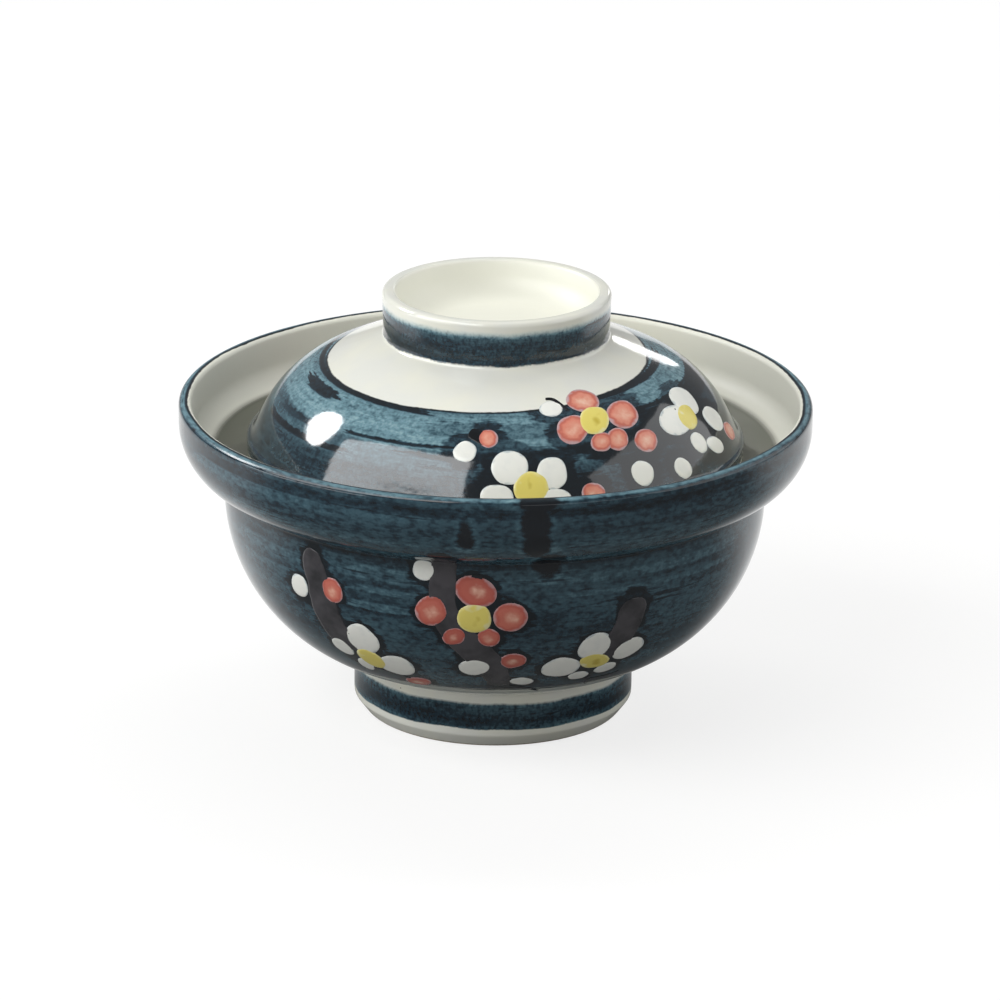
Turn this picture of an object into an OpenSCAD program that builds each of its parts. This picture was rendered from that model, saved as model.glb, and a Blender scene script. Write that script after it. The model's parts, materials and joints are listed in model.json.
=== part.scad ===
// Lidded donburi bowl: a footed bowl with a flared collar, and a domed lid with a grip ring that
// rests on the ledge inside the collar. Millimetres, +Z up, origin under the middle of the foot ring.

/* [Bowl] */
// Outer diameter of the rim
rim_d = 160; // [146:1:176]
// Height of the rim above the table
bowl_h = 81.5; // [74:0.5:94]
// Thickness of the wall at the neck
neck_wall = 7.7; // [5.5:0.1:9]
// Thickness of the wall above the foot
body_wall = 6.2; // [4:0.1:8]
// Thickness of the floor inside the foot ring
floor_t = 7.5; // [5:0.1:9]
// Radius of the rounding of the body outside
belly_r = 44; // [30:1:46]
// Slope of the body just above the foot, in degrees
belly_slope = 16.7; // [10:0.1:22]
// Radius of the rounding between the body and the floor inside
floor_r = 40; // [15:1:60]

/* [Foot ring] */
// Outer diameter of the foot ring
foot_d = 71; // [62:0.5:78]
// Height of the foot ring outside
foot_h = 15; // [11:0.5:18]
// Width of the foot ring at its top
foot_w = 6.9; // [5:0.1:9]
// Depth of the recess inside the foot ring
foot_recess = 11.5; // [8:0.5:12]
// Width of the slanted outer edge at the bottom of the foot ring
foot_slant_w = 2.7; // [1:0.1:3.5]
// Height of that slanted edge
foot_slant_h = 3.6; // [1:0.1:5]
// Draft of the inner side of the foot ring
foot_draft = 0.4; // [0:0.1:1]
// Radius of the rounding of the foot ring's edges
foot_edge_r = 1.2; // [0.4:0.1:1.6]
// Radius of the hollow between the foot ring and what it carries
foot_fillet_r = 1.6; // [0.5:0.1:3]

/* [Collar] */
// How far the rim stands out from the neck
collar_step = 11.5; // [8:0.5:15]
// Depth of the ledge below the rim
ledge_depth = 13.2; // [10:0.2:18]
// Thickness of the ledge at the neck
ledge_t = 6.7; // [4.5:0.1:9]
// Slope of the underside of the collar, in degrees
collar_slope = 17.8; // [5:0.1:30]
// Radius of the rounding of the collar outside
collar_r = 14.5; // [5:0.5:15]
// Thickness of the collar above the ledge
collar_wall = 4.6; // [3.5:0.1:5.5]
// Radius of the hollow between the collar and the ledge
ledge_fillet_r = 6.5; // [2:0.1:8]
// Radius of the rounding of the ledge's inner edge
ledge_edge_r = 0.4; // [0.2:0.1:0.6]
// Radius of the hollow at the neck
neck_fillet_r = 2; // [0.5:0.1:4]
// Thickness of the rim
lip_t = 3.2; // [2.4:0.1:3.5]
// Radius of the rounding of the rim
lip_r = 1.5; // [0.6:0.1:1.7]

/* [Lid] */
// How far the lid's edge reaches over the ledge
lid_bearing = 2; // [1.4:0.1:3]
// Thickness of the lid's edge
edge_t = 3.8; // [2.5:0.1:5]
// How far the edge stands out from the dome
edge_step = 1.1; // [0.4:0.1:2]
// Radius of the upper rounding of the edge
edge_top_r = 1.6; // [0.5:0.1:2]
// Radius of the lower rounding of the edge
edge_low_r = 0.6; // [0.3:0.1:0.8]
// Thickness of the dome
dome_t = 4.6; // [3:0.1:6]
// How far the dome's shoulder stands in from the lid's edge
shoulder_in = 8.7; // [6:0.1:12]
// Height of the shoulder above the ledge
shoulder_h = 18.8; // [15:0.1:25]
// Radius of the rounding of the shoulder
shoulder_r = 30; // [15:1:36]
// Slope of the dome between the shoulder and the grip ring, in degrees
crown_slope = 23.5; // [16:0.5:30]
// Thickness of the lid inside the grip ring
crown_t = 5.2; // [3.5:0.1:7]
// Radius of the rounding under the crown
crown_r = 20; // [5:1:40]

/* [Grip ring] */
// Outer diameter of the grip ring at its top
ring_d = 57.8; // [48:0.2:68]
// Height of the grip ring above the dome
ring_h = 11.8; // [8:0.2:14]
// Draft of the outer side of the grip ring
ring_draft = 0.5; // [0:0.1:2]
// Thickness of the grip ring at its top
ring_t = 3.3; // [2.8:0.1:4.5]
// Depth of the dish inside the grip ring
dish_depth = 9; // [6:0.2:10]
// Slant of the side of the dish
dish_slant = 3.1; // [0.5:0.1:5]
// Radius of the hollow between the side and the floor of the dish
dish_r = 8; // [2:0.2:10]
// Radius of the rounding of the grip ring's top
ring_edge_r = 1.25; // [0.5:0.05:1.3]
// Radius of the hollow between the grip ring and the dome
ring_fillet_r = 1.2; // [0.4:0.1:3]

/* [Hidden] */
rim_r = rim_d / 2;
neck_r = rim_r - collar_step;
mouth_r = neck_r - neck_wall;
foot_r = foot_d / 2;
foot_in_r = foot_r - foot_w;

ledge_z = bowl_h - ledge_depth;
neck_z = ledge_z - ledge_t;
collar_z = neck_z + collar_step * tan(collar_slope);
belly_z = foot_h + (neck_r - foot_r) * tan(belly_slope);
inner_belly_z = belly_z - neck_wall * tan(belly_slope) + body_wall / cos(belly_slope);
floor_z = foot_recess + floor_t;
floor_edge_r = mouth_r - (inner_belly_z - floor_z) / tan(belly_slope);

lid_r = mouth_r + lid_bearing;
dome_r = lid_r - edge_step;
shoulder_d_r = lid_r - shoulder_in;
edge_z = ledge_z + edge_t;
shoulder_z = ledge_z + shoulder_h;
ring_r = ring_d / 2;
ring_base_r = ring_r - ring_draft;
ring_base_z = shoulder_z + (shoulder_d_r - ring_base_r) * tan(crown_slope);
ring_z = ring_base_z + ring_h;
dish_z = ring_z - dish_depth;
dish_top_r = ring_r - ring_t;
dish_floor_r = dish_top_r - dish_slant;
crown_z = dish_z - crown_t;
dome_angle = atan2(shoulder_z - edge_z, dome_r - shoulder_d_r);
dome_in_r = dome_r - dome_t / sin(dome_angle) + edge_t / tan(dome_angle);
hollow_turn = (dome_angle - crown_slope) / 2;
hollow_mid = (dome_angle + crown_slope) / 2;
hollow_r = shoulder_d_r - dome_t * sin(hollow_mid) / cos(hollow_turn);
hollow_z = shoulder_z - dome_t * cos(hollow_mid) / cos(hollow_turn);
crown_edge_r = hollow_r - (crown_z - hollow_z) / tan(crown_slope);

arc_step = 4;

// Outlines: each corner is [radius, height, rounding], from the axis below to the axis above

function spot(p) = [p[0], p[1]];

function unit(v) = v / norm(v);

function turn_at(a, b, c) =
    let (u = spot(b) - spot(a), v = spot(c) - spot(b))
    atan2(cross(u, v), u * v);

// Length that the rounding of a corner takes from each of its sides
function reach(path, i) =
    i == 0 || i == len(path) - 1 ? 0 :
    path[i][2] * tan(abs(turn_at(path[i - 1], path[i], path[i + 1])) / 2);

// Share of its rounding that a corner has room for beside its neighbour
function room(path, i, k) =
    let (wanted = reach(path, i) + reach(path, k))
    wanted == 0 ? 1 : min(1, norm(spot(path[i]) - spot(path[k])) / wanted);

function rounded_corner(path, i) =
    let (
        a = spot(path[i - 1]),
        b = spot(path[i]),
        c = spot(path[i + 1]),
        turn = turn_at(a, b, c),
        side = reach(path, i) * min(room(path, i, i - 1), room(path, i, i + 1)),
        radius = side / tan(abs(turn) / 2),
        centre = b + unit(unit(a - b) + unit(c - b)) * norm([side, radius]),
        start = b + unit(a - b) * side - centre,
        steps = ceil(abs(turn) / arc_step)
    )
    [
        for (n = [0 : steps])
            let (s = sin(turn * n / steps), k = cos(turn * n / steps))
            centre + [start[0] * k - start[1] * s, start[0] * s + start[1] * k]
    ];

function rounded(path) = [
    for (i = [0 : len(path) - 1])
        each reach(path, i) > 0 ? rounded_corner(path, i) : [spot(path[i])]
];

foot_outline = [
    [0, foot_recess, 0],
    [foot_in_r, foot_recess, foot_fillet_r],
    [foot_in_r + foot_draft, 0, foot_edge_r],
    [foot_r - foot_slant_w, 0, foot_edge_r],
    [foot_r, foot_slant_h, foot_edge_r],
    [foot_r, foot_h, foot_fillet_r]
];

collar_outline = [
    [neck_r, belly_z, belly_r],
    [neck_r, neck_z, neck_fillet_r],
    [rim_r, collar_z, collar_r],
    [rim_r, bowl_h, lip_r],
    [rim_r - lip_t, bowl_h, lip_r],
    [rim_r - collar_wall, ledge_z, ledge_fillet_r]
];

inside_outline = [
    [mouth_r, ledge_z, ledge_edge_r],
    [mouth_r, inner_belly_z, belly_r - body_wall],
    [floor_edge_r, floor_z, floor_r],
    [0, floor_z, 0]
];

lid_under_outline = [
    [0, crown_z, 0],
    [crown_edge_r, crown_z, crown_r],
    [hollow_r, hollow_z, shoulder_r - dome_t],
    [dome_in_r, ledge_z, edge_low_r]
];

lid_top_outline = [
    [lid_r, ledge_z, edge_low_r],
    [lid_r, edge_z, edge_top_r],
    [dome_r, edge_z, edge_low_r],
    [shoulder_d_r, shoulder_z, shoulder_r],
    [ring_base_r, ring_base_z, ring_fillet_r],
    [ring_r, ring_z, ring_edge_r],
    [dish_top_r, ring_z, ring_edge_r],
    [dish_floor_r, dish_z, dish_r],
    [0, dish_z, 0]
];

module turned(outline)
    rotate_extrude($fn = 180)
        polygon(rounded(outline));

module bowl()
    color([0.20, 0.29, 0.37])
        turned(concat(foot_outline, collar_outline, inside_outline));

module lid()
    color([0.30, 0.43, 0.50])
        turned(concat(lid_under_outline, lid_top_outline));

bowl();
lid();
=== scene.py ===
"""Lidded donburi bowl: indigo brushwork under a clear glaze, with raised plum blossoms in enamel."""

import json
from bisect import bisect_right
from collections import namedtuple
from functools import partial
from math import cos, hypot, pi, radians, sin, sqrt, tau

import bpy
import numpy as np
from bpy.props import FloatProperty, FloatVectorProperty, IntProperty, PointerProperty
from mathutils import Matrix, Vector, noise
from mathutils.bvhtree import BVHTree

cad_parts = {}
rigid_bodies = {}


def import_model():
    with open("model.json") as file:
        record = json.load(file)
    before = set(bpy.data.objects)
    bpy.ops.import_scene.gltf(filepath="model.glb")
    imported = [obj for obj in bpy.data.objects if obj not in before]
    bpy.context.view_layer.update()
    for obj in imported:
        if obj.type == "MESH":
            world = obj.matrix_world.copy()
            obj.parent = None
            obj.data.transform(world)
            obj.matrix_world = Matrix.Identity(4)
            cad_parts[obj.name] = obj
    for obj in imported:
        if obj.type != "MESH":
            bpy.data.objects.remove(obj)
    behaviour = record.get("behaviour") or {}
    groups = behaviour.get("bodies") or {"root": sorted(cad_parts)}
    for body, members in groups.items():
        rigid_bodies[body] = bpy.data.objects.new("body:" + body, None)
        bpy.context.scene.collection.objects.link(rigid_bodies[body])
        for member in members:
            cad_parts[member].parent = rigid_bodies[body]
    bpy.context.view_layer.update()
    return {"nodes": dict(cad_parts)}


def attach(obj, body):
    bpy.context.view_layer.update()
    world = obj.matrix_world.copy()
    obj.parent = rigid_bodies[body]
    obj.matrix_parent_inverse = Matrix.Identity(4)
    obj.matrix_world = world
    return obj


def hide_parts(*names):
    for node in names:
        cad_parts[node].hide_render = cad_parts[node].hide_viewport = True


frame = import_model()

bl_info = {
    "name": "Lidded donburi bowl",
    "version": (1, 0, 0),
    "blender": (4, 5, 0),
    "location": "View3D > Sidebar > Donburi",
    "description": "Turns, glazes and paints the lidded bowl and sets up its studio",
    "category": "Object",
}

MM = 0.001
WELD = 1e-6

# The photograph's width, and how far its middle lies right of the axis and above the point that the camera
# turns about, in pixels
PHOTO_WIDTH = 1000
PHOTO_SHIFT = (5.2, 15.4)

# The camera's sensor in millimetres, and the floor in metres
SENSOR_WIDTH = 36
FLOOR_SIZE = 8


def linear(hex_colour):
    """An sRGB hex colour as linear red, green and blue."""
    parts = [int(hex_colour[i : i + 2], 16) / 255 for i in (1, 3, 5)]
    return tuple(c / 12.92 if c <= 0.04045 else ((c + 0.055) / 1.055) ** 2.4 for c in parts)


# Settings that a user would change


def length(name, description, default):
    return FloatProperty(name=name, description=description, default=default, min=0, unit="LENGTH")


def amount(name, description, default):
    return FloatProperty(name=name, description=description, default=default, min=0)


def tilt(name, description, degrees):
    return FloatProperty(name=name, description=description, default=radians(degrees), subtype="ANGLE")


def colour(name, description, hex_colour):
    return FloatVectorProperty(
        name=name, description=description, default=linear(hex_colour), subtype="COLOR", min=0, max=1
    )


class TurnedShape(bpy.types.PropertyGroup):
    """How the two turned pieces are meshed"""

    steps: IntProperty(name="Steps", description="Segments around a turned piece", default=96, min=24)
    finest: length("Finest step", "Points of the outline that lie closer than this become one", 0.25 * MM)
    longest: length("Longest step", "Longer straight stretches of the outline are divided", 3.2 * MM)
    ripple: length("Ripple", "How far the thrown wall waves in and out", 0.14 * MM)
    ripple_size: length("Ripple size", "Width of one such wave", 26 * MM)
    bare_below: length("Bare foot", "The foot ring stays unglazed below this height", 0.5 * MM)


class Brushwork(bpy.types.PropertyGroup):
    """The indigo painting and the glaze over it"""

    black: colour("Deepest indigo", "Where the brush left most pigment", "#08141c")
    deep: colour("Deep indigo", "Heavy strokes", "#1a2f3b")
    middle: colour("Middle indigo", "Most of the brushwork", "#3c5965")
    light: colour("Light indigo", "Where the brush ran dry", "#6a8d98")
    pale: colour("Pale indigo", "Washed out edges", "#9ab8bd")
    white: colour("White glaze", "The cream white glaze", "#e6e7df")
    white_low: colour("White glaze, inside", "Where the white glaze lies thicker", "#ebebde")
    # Painted shade: pooled colours the ledge under the lid's edge dark olive grey, for the lid's shadow
    pooled: colour("Pooled glaze", "Where the glaze ran together on the ledge", "#585a4e")
    run: colour("Iron run", "Runs of iron glaze over the indigo", "#11151b")
    speck: colour("Iron speck", "Specks of iron in the white glaze", "#6f5a44")
    stroke_length: length("Stroke length", "Length of a broad brush stroke", 55 * MM)
    stroke_width: length("Stroke width", "Width of a broad brush stroke", 4.2 * MM)
    streak_length: length("Streak length", "Length of a bristle's streak", 15 * MM)
    streak_width: length("Streak width", "Width of a bristle's streak", 1 * MM)
    fleck_length: length("Fleck length", "Length of the flecks in which the pigment gathered", 1.9 * MM)
    fleck_width: length("Fleck width", "Width of such a fleck", 1.15 * MM)
    grain: length("Grain", "Size of the pigment's grain", 0.6 * MM)
    drift_length: length("Drift length", "Distance around over which a painted edge wanders", 25 * MM)
    drift_width: length("Drift width", "Distance along the outline over which it wanders", 80 * MM)


class Enamels(bpy.types.PropertyGroup):
    """The raised dabs of the plum blossoms"""

    petal_height: length("Petal height", "How far a petal stands out", 0.12 * MM)
    centre_height: length("Centre height", "How far a blossom's centre stands out", 0.2 * MM)
    stroke_height: length("Stroke height", "How far a branch stands out", 0.08 * MM)
    sink: length("Sink", "How far the edge of a dab lies under the surface", 0.1 * MM)
    white: colour("White slip", "White petals and buds", "#f0f1ea")
    white_edge: colour("White slip, edge", "Thin edge of a white petal over indigo", "#bcc6c8")
    coral: colour("Coral", "Coral petals", "#da8570")
    coral_deep: colour("Coral, thick", "Where the coral gathered along the edge of a petal", "#b4584d")
    coral_light: colour("Coral, thin", "Middle of a petal, where the white shows through", "#eabda6")
    coral_edge: colour("Coral, edge", "The white rim around the coral", "#c2adb1")
    yellow: colour("Yellow", "Centres of the blossoms", "#e6d771")
    yellow_thin: colour("Yellow, thin", "Where the white shows through the yellow", "#ece7b6")
    yellow_dark: colour("Yellow, thick", "Where the yellow pooled", "#c3ac3e")
    brown: colour("Iron brown", "Branches", "#49474b")
    brown_dark: colour("Iron brown, thick", "Twigs and thick ends of the branches", "#121518")


class Studio(bpy.types.PropertyGroup):
    """Camera, lamps and floor"""

    distance: length("Camera distance", "From the camera to the middle of the bowl", 1.6)
    target: length("Target height", "Height of the point that the camera turns about", 50 * MM)
    elevation: tilt("Camera elevation", "Angle above the table", 19.25)
    roll: tilt("Camera roll", "Turn of the picture", 0.6)
    lens: FloatProperty(name="Focal length", description="Of the camera", default=227, min=1, unit="CAMERA")
    floor: colour("Floor", "The pale floor", "#8f8f8e")
    glow: amount("Floor glow", "What lifts the floor to white for the eye", 0.75)
    shade: length("Shaded floor", "Up to this far behind the axis, the floor's glow isn't mirrored", 85 * MM)
    world: amount("Surroundings", "Strength of the light from all around", 0.24)


# Where the painting lies: angle to the right of the front in degrees, height above the table in
# millimetres, long and short side in millimetres, and the turn of the long side in degrees

Dab = namedtuple("Dab", "angle height long short turn")

# A stroke is a row of points: angle, height and width
Point = namedtuple("Point", "angle height width")

BOWL_CORAL = (
    Dab(-36, 49, 7.5, 6.5, 86),
    Dab(-13, 48, 9.5, 8, 58),
    Dab(-3.6, 53.9, 10.8, 8.8, 160),
    Dab(3.5, 47, 9, 8.5, 125),
    Dab(-8.5, 41, 6.5, 6, 50),
    Dab(-1, 41, 6, 6, 18),
    Dab(4.5, 33.5, 7, 6, 10),
    Dab(-21, 23, 8, 5.5, 27),
)
BOWL_WHITE = (
    Dab(-45.5, 47.5, 7, 6, 62),
    Dab(-31, 36, 11.5, 9.5, 68),
    Dab(-38.5, 31.5, 7, 6.5, 108),
    Dab(-24.5, 28.5, 11.5, 9, 43),
    Dab(-34.5, 26.5, 6, 5, 88),
    Dab(-14.5, 59, 6, 5.5, 42),
    Dab(-4.5, 31, 8.5, 7, 17),
    Dab(7.5, 25.5, 6.5, 4.5, 162),
    Dab(23.5, 36, 10.3, 9.2, 89),
    Dab(33, 33.5, 9, 8.5, 7),
    Dab(16.5, 30, 10.5, 9, 167),
    Dab(22.5, 26, 6, 4.5, 171),
    Dab(29.5, 27.5, 6.5, 5, 4),
)
BOWL_YELLOW = (Dab(-31, 29.5, 9, 7.5, 111), Dab(-4, 46.5, 9, 8.5, 36), Dab(25, 31, 9, 6.5, 154))
BOWL_BRANCHES = (
    (
        Point(-40.4, 58.8, 3.5),
        Point(-40.8, 55.5, 7),
        Point(-39.6, 50, 7.2),
        Point(-39.2, 45, 8.8),
        Point(-38.4, 39, 8.8),
        Point(-36, 31, 9),
    ),
    (
        Point(-10, 64, 6),
        Point(-10.5, 56, 6.6),
        Point(-10.5, 49, 7),
        Point(-8, 42, 8),
        Point(-4, 36.5, 8.6),
        Point(-0.5, 31, 8),
        Point(2.5, 23.5, 5.5),
    ),
    (
        Point(30.9, 49.2, 4.5),
        Point(30.8, 46.5, 7.8),
        Point(30.3, 42, 7.8),
        Point(29, 37, 8),
        Point(27, 31, 3),
    ),
)
BOWL_TWIGS = (
    (Point(-38, 26.6, 0.8), Point(-33, 26, 1.1), Point(-27, 25.2, 1.1), Point(-20, 23.4, 0.9)),
    (Point(4.5, 23.6, 0.9), Point(9, 22.3, 1.2), Point(13.5, 20.4, 0.7)),
    (
        Point(17, 26.4, 0.8),
        Point(22, 25, 1.1),
        Point(27, 23.6, 1.2),
        Point(32, 23.6, 1.1),
        Point(36, 24.6, 0.8),
    ),
    (Point(26, 25, 0.9), Point(27.2, 22.6, 1.1), Point(28, 21, 0.7)),
    (Point(-4.6, 58, 1.4), Point(-3.5, 57.6, 1.8), Point(-2.4, 58, 1.4)),
)
# A blot of a run lies at an angle and height, with its width and its length down the wall in millimetres
Blot = namedtuple("Blot", "angle height wide tall")
BOWL_RUNS = (
    Blot(7.7, 80.8, 10.5, 5),
    Blot(7.2, 75.5, 7.4, 9),
    Blot(7.6, 69.5, 7, 9),
    Blot(10.9, 62.6, 8.2, 13),
    Blot(-5, 70.4, 4.4, 4.6),
    Blot(-5, 73, 2.6, 6.5),
)

LID_CORAL = (
    Dab(31, 92.5, 9.5, 8.5, 30),
    Dab(41, 89.5, 11, 8, 32),
    Dab(22.5, 88.5, 10, 8, 43),
    Dab(34.5, 85.5, 7.5, 5.5, 38),
    Dab(29.5, 85.5, 6.5, 5.5, 26),
    Dab(43, 84, 8, 6, 15),
    Dab(81, 76.5, 9, 5, -20),
    Dab(23.5, 75, 6.5, 6, 0),
    Dab(-2, 87.5, 5.5, 5, 94),
)
LID_WHITE = (
    Dab(18.5, 92, 6.5, 5.5, 31),
    Dab(68, 87.5, 11, 9, 8),
    Dab(57.5, 85.5, 14, 8.5, 4),
    Dab(61, 79.5, 7, 5.5, 148),
    Dab(68, 77, 8.5, 5, -21),
    Dab(75, 81.5, 11, 7, -20),
    Dab(38, 77.5, 7, 6.5, 133),
    Dab(51, 76, 6.5, 5.5, -31),
    Dab(3.5, 82, 9.5, 9, 5),
    Dab(14, 80.5, 8.5, 8, 57),
    Dab(0.5, 75.5, 8.5, 6.5, 0),
    Dab(14.5, 74.8, 8, 5, -3),
    Dab(-8, 85, 6, 5.8, 128),
)
LID_YELLOW = (Dab(30.5, 89.5, 10.5, 7.5, 44), Dab(63, 85, 9, 6.5, 22), Dab(8.5, 77.5, 9, 8.5, 19))
LID_BRANCHES = ((Point(-7.5, 88.5, 3), Point(-5, 88, 3.5), Point(-2, 86.5, 2.5)),)
LID_TWIGS = ((Point(18, 93.5, 0.9), Point(21, 93.2, 1.1), Point(24, 91.5, 1)),)

# Single brush strokes in the indigo: from an angle and height to an angle and height, the width in
# millimetres, and the lightness from 0 to 1
Stroke = namedtuple("Stroke", "start start_height end end_height width tone")
BOWL_STROKES = (
    Stroke(5, 44, 19, 43.6, 9, 0.28),
    Stroke(-36, 40, -18, 40, 6, 0.42),
    Stroke(34, 43, 62, 43, 9, 0.42),
    Stroke(-72, 55.5, -43, 55.3, 2.4, 0.46),
    Stroke(-72, 50.5, -47, 50.6, 1.8, 0.45),
    Stroke(-72, 45, -46, 45.2, 2, 0.43),
    Stroke(-34, 56.5, -17, 56.2, 3.6, 0.5),
    Stroke(-33, 51.8, -16, 51.6, 1.6, 0.5),
    Stroke(-32, 47, -16, 47, 2.4, 0.49),
    Stroke(8, 56.8, 62, 56.4, 2.6, 0.49),
    Stroke(12, 52.6, 60, 52.2, 1.4, 0.48),
    Stroke(-68, 75.6, -30, 75.2, 2.6, 0.45),
    Stroke(13, 69, 64, 71, 2.2, 0.45),
)
LID_STROKES = (
    Stroke(-130, 91.9, -20, 91, 1.6, 0.04),
    Stroke(36, 92.7, 95, 93.2, 2, 0.03),
    Stroke(-79, 89.7, -56, 89.7, 3.2, 0.1),
    Stroke(-20, 88.8, 40, 88.6, 4.6, 0.57),
    Stroke(-46, 85.1, -12, 85.4, 0.9, 0.1),
    Stroke(-78, 83.8, -47, 84.2, 1.6, 0.22),
    Stroke(-26, 83.9, -8, 82.9, 1.2, 0.1),
    Stroke(-20, 81.3, -8, 81, 0.9, 0.2),
    Stroke(-79, 80.9, -40, 81.2, 1.5, 0.03),
    Stroke(42, 82, 130, 82, 21, 0.22),
    Stroke(42, 89.5, 64, 89.4, 1.2, 0.08),
    Stroke(71, 88, 130, 88, 6.2, 0.04),
    Stroke(50, 106.5, 76, 106.2, 0.6, 0.1),
)

# Painted stretches of the wall: start and end as heights in millimetres, and how soft they end. A height
# above the top edge says how far past that edge, down the other side
BOWL_BANDS = ((5.2, 12.2, 0.5), (21.3, 82.4, 0.15))
LID_BANDS = ((68.9, 93.28, 0.2), (98.7, 107.1, 1))

# Lightness of the indigo at a height, from 0 to 1; some of the bowl's tones are partly painted reflection
BOWL_TONES = (
    (5.2, 0.48),
    (7.5, 0.2),
    (9.5, 0.3),
    (11, 0.38),
    (12.5, 0.7),
    (21.2, 0.05),
    (21.7, 0.25),
    # Partly painted reflection: raised at 26 mm for the floor's haze mirrored low on the body
    (26, 0.42),
    (36, 0.34),
    (46, 0.34),
    (58, 0.38),
    (60, 0.34),
    (60.8, 0.1),
    # Partly painted reflection: the lighter tones under the collar stand for the floor mirrored in it
    (61.8, 0.4),
    (64, 0.46),
    (66, 0.4),
    (68.5, 0.42),
    (71, 0.35),
    (76, 0.36),
    (77, 0.22),
    (79, 0.2),
    (80.4, 0.32),
    (80.9, 0.16),
    (81.15, 0.6),
    (81.6, 0.62),
    (81.9, 0.05),
)
LID_TONES = (
    (69, 0.22),
    (79, 0.25),
    (82.5, 0.31),
    (83.8, 0.46),
    (87, 0.48),
    (87.6, 0.74),
    (90.1, 0.74),
    (92.96, 0.66),
    (93.08, 0.15),
    (93.28, 0.05),
    (98.5, 0.32),
    (100.5, 0.2),
    (104, 0.28),
    (105.8, 0.44),
    (106.7, 0.8),
    (107.6, 1.0),
)

# How a turned piece is glazed. lean is how far its bands slip along the outline at the right and at the
# back, and between which heights; marks are the strength of broad strokes, streaks, flecks and grains; past
# the height satin the white is satin; pool is where the ledge gets painted shade, a dark olive grey for the
# lid's shadow, in millimetres past the top edge; index is the glaze's refraction
Glaze = namedtuple("Glaze", "bands tones strokes runs lean marks satin pool index")

# The sprays come again behind, turned by these angles
BOWL_SPRAYS = (0, 176)
LID_SPRAYS = (0, 144)

# Heights between which the thrown wall waves, and how far the dark wash reaches beside a dab, in millimetres
BOWL_WALL = (16, 78)
LID_WALL = (73, 97)
BOWL_WASH = 1.4
LID_WASH = 4

# Radius and height of a dab's rings, from its edge inwards, as shares of the whole
DAB_RINGS = ((0.965, 0.5), (0.9, 0.8), (0.78, 0.95), (0.58, 1.0), (0.3, 0.98))

# How thinly the coral lies, from 0 to 1, from the thickest petal to the thinnest
CORAL_THINNESS = {"bowl": (0, 0.35), "lid": (0.5, 0.9)}


# Mesh helpers


def select_only(obj):
    bpy.ops.object.select_all(action="DESELECT")
    obj.select_set(True)
    bpy.context.view_layer.objects.active = obj


def edit(obj):
    """Edit mode on one object, with all of its mesh selected."""
    select_only(obj)
    bpy.ops.object.mode_set(mode="EDIT")
    bpy.ops.mesh.select_all(action="SELECT")


def apply_modifier(obj, kind, **settings):
    select_only(obj)
    modifier = obj.modifiers.new(kind.title(), kind)
    for name, value in settings.items():
        setattr(modifier, name, value)
    bpy.ops.object.modifier_apply(modifier=modifier.name)


class Outline:
    """A turned outline in millimetres: distance along it, radius and height, from the axis below."""

    def __init__(self, wire):
        beside = {v.index: [] for v in wire.data.vertices}
        for e in wire.data.edges:
            a, b = e.vertices
            beside[a].append(b)
            beside[b].append(a)
        place = [v.co / MM for v in wire.data.vertices]
        ends = [i for i, near in beside.items() if len(near) == 1]
        walk = [min(ends, key=lambda i: place[i].z)]
        while len(walk) < len(place):
            walk.append(next(i for i in beside[walk[-1]] if i not in walk[-2:]))
        self.order = walk
        self.radius = [place[i].x for i in walk]
        self.height = [place[i].z for i in walk]
        self.along = [0.0]
        for a, b in zip(walk, walk[1:]):
            self.along.append(self.along[-1] + (place[b] - place[a]).length)
        low, high = min(self.height), max(self.height)
        self.foot = max(i for i, z in enumerate(self.height) if z < low + WELD / MM)
        self.top = min(i for i, z in enumerate(self.height) if z > high - WELD / MM)

    def at(self, along):
        """Radius and height at a distance along the outline."""
        i = min(max(bisect_right(self.along, along), 1), len(self.along) - 1)
        share = (along - self.along[i - 1]) / (self.along[i] - self.along[i - 1])
        return tuple(v[i - 1] + share * (v[i] - v[i - 1]) for v in (self.radius, self.height))

    def rise(self, height):
        """Distance along the outline at which its outside reaches a height; what a height is above the top
        is how far past the top edge."""
        outside = slice(self.foot, self.top + 1)
        over = max(0, height - self.height[self.top])
        return float(np.interp(height, self.height[outside], self.along[outside])) + over


def turned(node, shape):
    """A smooth turned copy of a CAD node, and its outline."""
    select_only(frame["nodes"][node])
    bpy.ops.object.duplicate()
    piece = bpy.context.object
    for key in list(piece.keys()):
        del piece[key]
    bpy.ops.object.parent_clear(type="CLEAR")
    piece.data.materials.clear()
    for layer in list(piece.data.uv_layers):
        piece.data.uv_layers.remove(layer)

    edit(piece)
    bpy.ops.mesh.customdata_custom_splitnormals_clear()
    bpy.ops.mesh.remove_doubles(threshold=WELD)
    for across, both_sides in (((0, 1, 0), True), ((1, 0, 0), False)):
        bpy.ops.mesh.select_all(action="SELECT")
        bpy.ops.mesh.bisect(
            plane_co=(0, 0, 0), plane_no=across, clear_inner=True, clear_outer=both_sides, threshold=WELD
        )
    bpy.ops.mesh.select_all(action="SELECT")
    bpy.ops.mesh.remove_doubles(threshold=shape.finest)
    divide_long_edges(piece, shape.longest)
    bpy.ops.object.mode_set(mode="OBJECT")

    outline = Outline(piece)
    along = piece.data.attributes.new("along", "FLOAT", "POINT")
    for index, distance in zip(outline.order, outline.along):
        along.data[index].value = distance

    edit(piece)
    bpy.ops.mesh.spin(steps=shape.steps, angle=tau, center=(0, 0, 0), axis=(0, 0, 1))
    bpy.ops.mesh.select_all(action="SELECT")
    bpy.ops.mesh.remove_doubles(threshold=WELD)
    bpy.ops.mesh.normals_make_consistent(inside=False)
    bpy.ops.object.mode_set(mode="OBJECT")
    apply_modifier(piece, "SUBSURF", levels=1, render_levels=1)
    bpy.ops.object.shade_smooth()
    return piece, outline


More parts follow.
